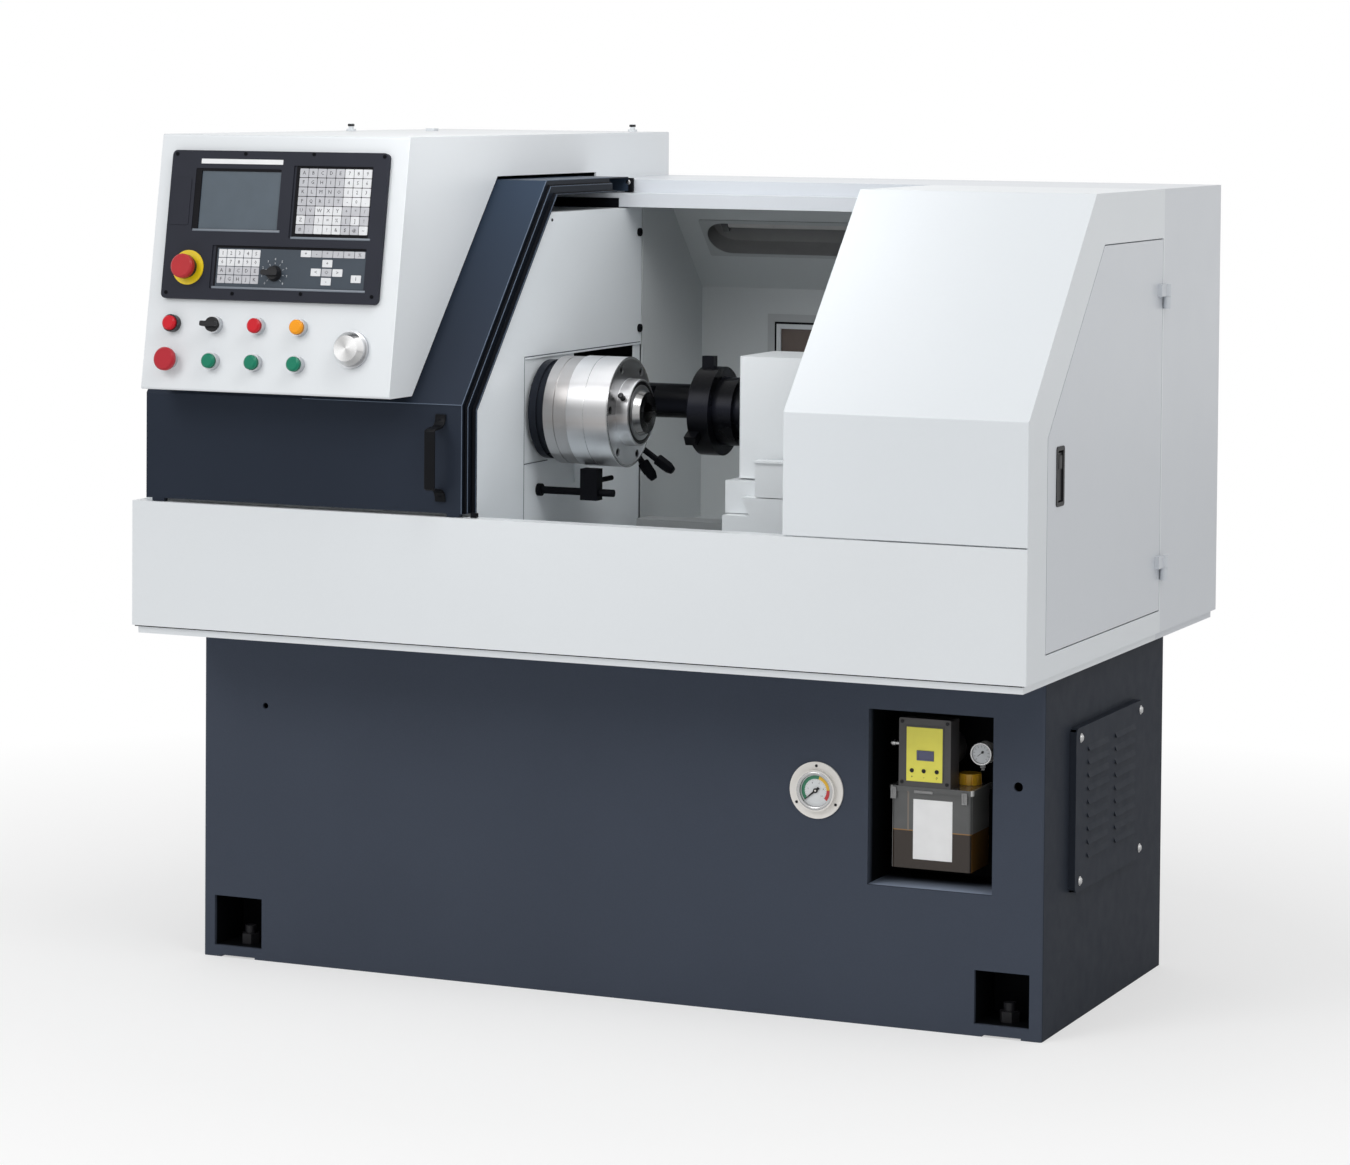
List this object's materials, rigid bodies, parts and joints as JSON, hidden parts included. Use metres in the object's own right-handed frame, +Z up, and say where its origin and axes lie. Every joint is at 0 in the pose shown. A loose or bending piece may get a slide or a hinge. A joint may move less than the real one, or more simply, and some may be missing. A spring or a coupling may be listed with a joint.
{
  "type": "cnc turning lathe",
  "caption": "Guarded turning lathe on a cabinet base: sliding door, tilted control cabinet, collet chuck spindle, cross slide with driven tool head, side service door and lubricator niche.",
  "frame": {"origin": "middle of the base cabinet's underside, on the floor", "axes": "+X along the spindle towards the tool side, +Y to the machine's back, +Z up"},
  "size_m": [1.6625, 1.1818, 1.492],
  "materials": {
    "base_paint": "dark blue-grey textured enamel, satin",
    "panel_paint": "near-white cool grey enamel, semi-gloss",
    "door_paint": "near-black navy enamel, satin",
    "plate_paint": "dark navy-grey moulded, matt",
    "bright_steel": "turned and ground steel",
    "black_steel": "black oxide, satin",
    "cast_paint": "grey painted casting",
    "head_paint": "white enamel on machined housing",
    "black_plastic": "black moulded, satin",
    "screen_glass": "dark display glass",
    "window_glass": "smoked pane",
    "key_plastic": "light grey key caps",
    "gauge_metal": "cream flange, bright bezel and white dial",
    "needle_black": "black pointer",
    "pump_grey": "mid grey moulded, satin",
    "tank_clear": "smoked clear moulded tank",
    "cap_amber": "translucent amber, ribbed",
    "lamp_white": "frosted tube",
    "red_plastic": "red, glossy",
    "green_plastic": "green, glossy",
    "yellow_plastic": "amber yellow, glossy",
    "chrome_trim": "bright plated",
    "belt_rubber": "black belt"
  },
  "bodies": {
    "frame": {"base_cabinet": "base_paint", "levelling_bolts": "bright_steel", "louvre_cover": "base_paint", "pressure_gauge": "gauge_metal", "lubricator_head": "pump_grey", "oil_tank": "tank_clear", "lube_gauge": "gauge_metal", "drip_tray": "panel_paint", "rear_cover": "panel_paint", "right_hood": "panel_paint", "top_rail": "panel_paint", "headstock_cover": "panel_paint", "headstock_wall": "panel_paint", "headstock_guard": "panel_paint", "work_area_liner": "panel_paint", "work_lamp": "black_plastic", "lamp_tube": "lamp_white", "back_window": "window_glass", "control_cabinet": "panel_paint", "control_plate": "plate_paint", "screen": "screen_glass", "keypads": "key_plastic", "button_bezels": "chrome_trim", "bed_casting": "cast_paint", "headstock_casting": "cast_paint", "spindle_bearings": "bright_steel", "spindle_motor": "black_steel", "drive_belt": "belt_rubber", "feed_motor": "black_steel", "coolant_nozzles": "black_plastic", "stop_bracket": "black_steel"},
    "door": {"sliding_door": "door_paint", "door_handle": "black_plastic"},
    "side_door": {"service_door": "panel_paint", "latch_body": "black_plastic"},
    "latch": {"latch_lever": "black_plastic"},
    "spindle": {"spindle_shaft": "black_steel", "spindle_pulley": "bright_steel", "chuck_body": "bright_steel", "collet": "bright_steel"},
    "motor_rotor": {"motor_pulley": "bright_steel"},
    "carriage": {"saddle": "cast_paint"},
    "cross": {"cross_slide": "head_paint", "tool_head": "head_paint", "boring_bar": "black_steel"},
    "disc": {"tool_disc": "black_steel"},
    "screw": {"carriage_screw": "bright_steel"},
    "cap": {"filler_cap": "cap_amber"},
    "needle": {"gauge_needle": "needle_black"},
    "stop_head": {"e_stop_button": "red_plastic"},
    "red_key": {"red_button": "red_plastic"},
    "stop_key": {"stop_button": "red_plastic"},
    "amber_key": {"amber_button": "yellow_plastic"},
    "mushroom_key": {"mushroom_button": "red_plastic"},
    "green_key_1": {"green_button_1": "green_plastic"},
    "green_key_2": {"green_button_2": "green_plastic"},
    "green_key_3": {"green_button_3": "green_plastic"},
    "selector": {"selector_lever": "black_plastic"},
    "override": {"override_knob": "black_plastic"},
    "wheel": {"handwheel": "chrome_trim"}
  },
  "joints": [
    {"name": "door_slide", "type": "slide", "parent": "frame", "child": "door", "axis": [1, 0, 0], "range_m": [0, 0.58]},
    {"name": "service_door_hinge", "type": "hinge", "parent": "frame", "child": "side_door", "pos_m": [0.8315, 0.1935, 0.96], "axis": [0, 0, 1], "range_deg": [0, 110]},
    {"name": "latch_pull", "type": "hinge", "parent": "side_door", "child": "latch", "pos_m": [0.82, -0.3715, 0.903], "axis": [0, 1, 0], "range_deg": [0, 30], "stiffness_Nm_per_rad": 0.4, "springref_deg": -20.05},
    {"name": "spindle_turn", "type": "hinge", "parent": "frame", "child": "spindle", "pos_m": [-0.141, -0.2115, 1], "axis": [1, 0, 0], "continuous": true},
    {"name": "motor_turn", "type": "hinge", "parent": "frame", "child": "motor_rotor", "pos_m": [-0.701, 0.0665, 0.835], "axis": [1, 0, 0], "continuous": true},
    {"name": "carriage_slide", "type": "slide", "parent": "frame", "child": "carriage", "axis": [1, 0, 0], "range_m": [-0.05, 0.15]},
    {"name": "cross_feed", "type": "slide", "parent": "carriage", "child": "cross", "axis": [0, 1, 0], "range_m": [-0.13, 0.05]},
    {"name": "disc_turn", "type": "hinge", "parent": "cross", "child": "disc", "pos_m": [0.109, -0.1115, 1], "axis": [1, 0, 0], "continuous": true},
    {"name": "screw_turn", "type": "hinge", "parent": "frame", "child": "screw", "pos_m": [0.209, -0.0235, 0.722], "axis": [1, 0, 0], "range_deg": [-3600, 7200]},
    {"name": "cap_turn", "type": "hinge", "parent": "frame", "child": "cap", "pos_m": [0.625, -0.2285, 0.4], "axis": [0, 0, 1], "range_deg": [0, 360]},
    {"name": "needle_turn", "type": "hinge", "parent": "frame", "child": "needle", "pos_m": [0.39, -0.3395, 0.388], "axis": [0, 1, 0], "range_deg": [0, 260], "stiffness_Nm_per_rad": 0.0002},
    {"name": "stop_press", "type": "slide", "parent": "frame", "child": "stop_head", "axis": [0, 0.9861, -0.1662], "range_m": [0, 0.004], "stiffness_N_per_m": 1500, "springref_m": -0.002},
    {"name": "red_press", "type": "slide", "parent": "frame", "child": "red_key", "axis": [0, 0.9861, -0.1662], "range_m": [0, 0.003], "stiffness_N_per_m": 500, "springref_m": -0.001},
    {"name": "halt_press", "type": "slide", "parent": "frame", "child": "stop_key", "axis": [0, 0.9861, -0.1662], "range_m": [0, 0.003], "stiffness_N_per_m": 500, "springref_m": -0.001},
    {"name": "amber_press", "type": "slide", "parent": "frame", "child": "amber_key", "axis": [0, 0.9861, -0.1662], "range_m": [0, 0.003], "stiffness_N_per_m": 500, "springref_m": -0.001},
    {"name": "mushroom_press", "type": "slide", "parent": "frame", "child": "mushroom_key", "axis": [0, 0.9861, -0.1662], "range_m": [0, 0.003], "stiffness_N_per_m": 500, "springref_m": -0.001},
    {"name": "green_press_1", "type": "slide", "parent": "frame", "child": "green_key_1", "axis": [0, 0.9861, -0.1662], "range_m": [0, 0.003], "stiffness_N_per_m": 500, "springref_m": -0.001},
    {"name": "green_press_2", "type": "slide", "parent": "frame", "child": "green_key_2", "axis": [0, 0.9861, -0.1662], "range_m": [0, 0.003], "stiffness_N_per_m": 500, "springref_m": -0.001},
    {"name": "green_press_3", "type": "slide", "parent": "frame", "child": "green_key_3", "axis": [0, 0.9861, -0.1662], "range_m": [0, 0.003], "stiffness_N_per_m": 500, "springref_m": -0.001},
    {"name": "selector_turn", "type": "hinge", "parent": "frame", "child": "selector", "pos_m": [-0.623, -0.59238, 1.1524], "axis": [0, -0.9861, 0.1662], "range_deg": [-45, 45]},
    {"name": "override_turn", "type": "hinge", "parent": "frame", "child": "override", "pos_m": [-0.513, -0.57726, 1.24213], "axis": [0, -0.9861, 0.1662], "range_deg": [-120, 120]},
    {"name": "wheel_turn", "type": "hinge", "parent": "frame", "child": "wheel", "pos_m": [-0.355, -0.59804, 1.11887], "axis": [0, -0.9861, 0.1662], "continuous": true}
  ],
  "couplings": [
    {"joint": "motor_turn", "follows": "spindle_turn", "ratio": 1.5217},
    {"joint": "screw_turn", "follows": "carriage_slide", "rad_per_m": 628.32}
  ]
}
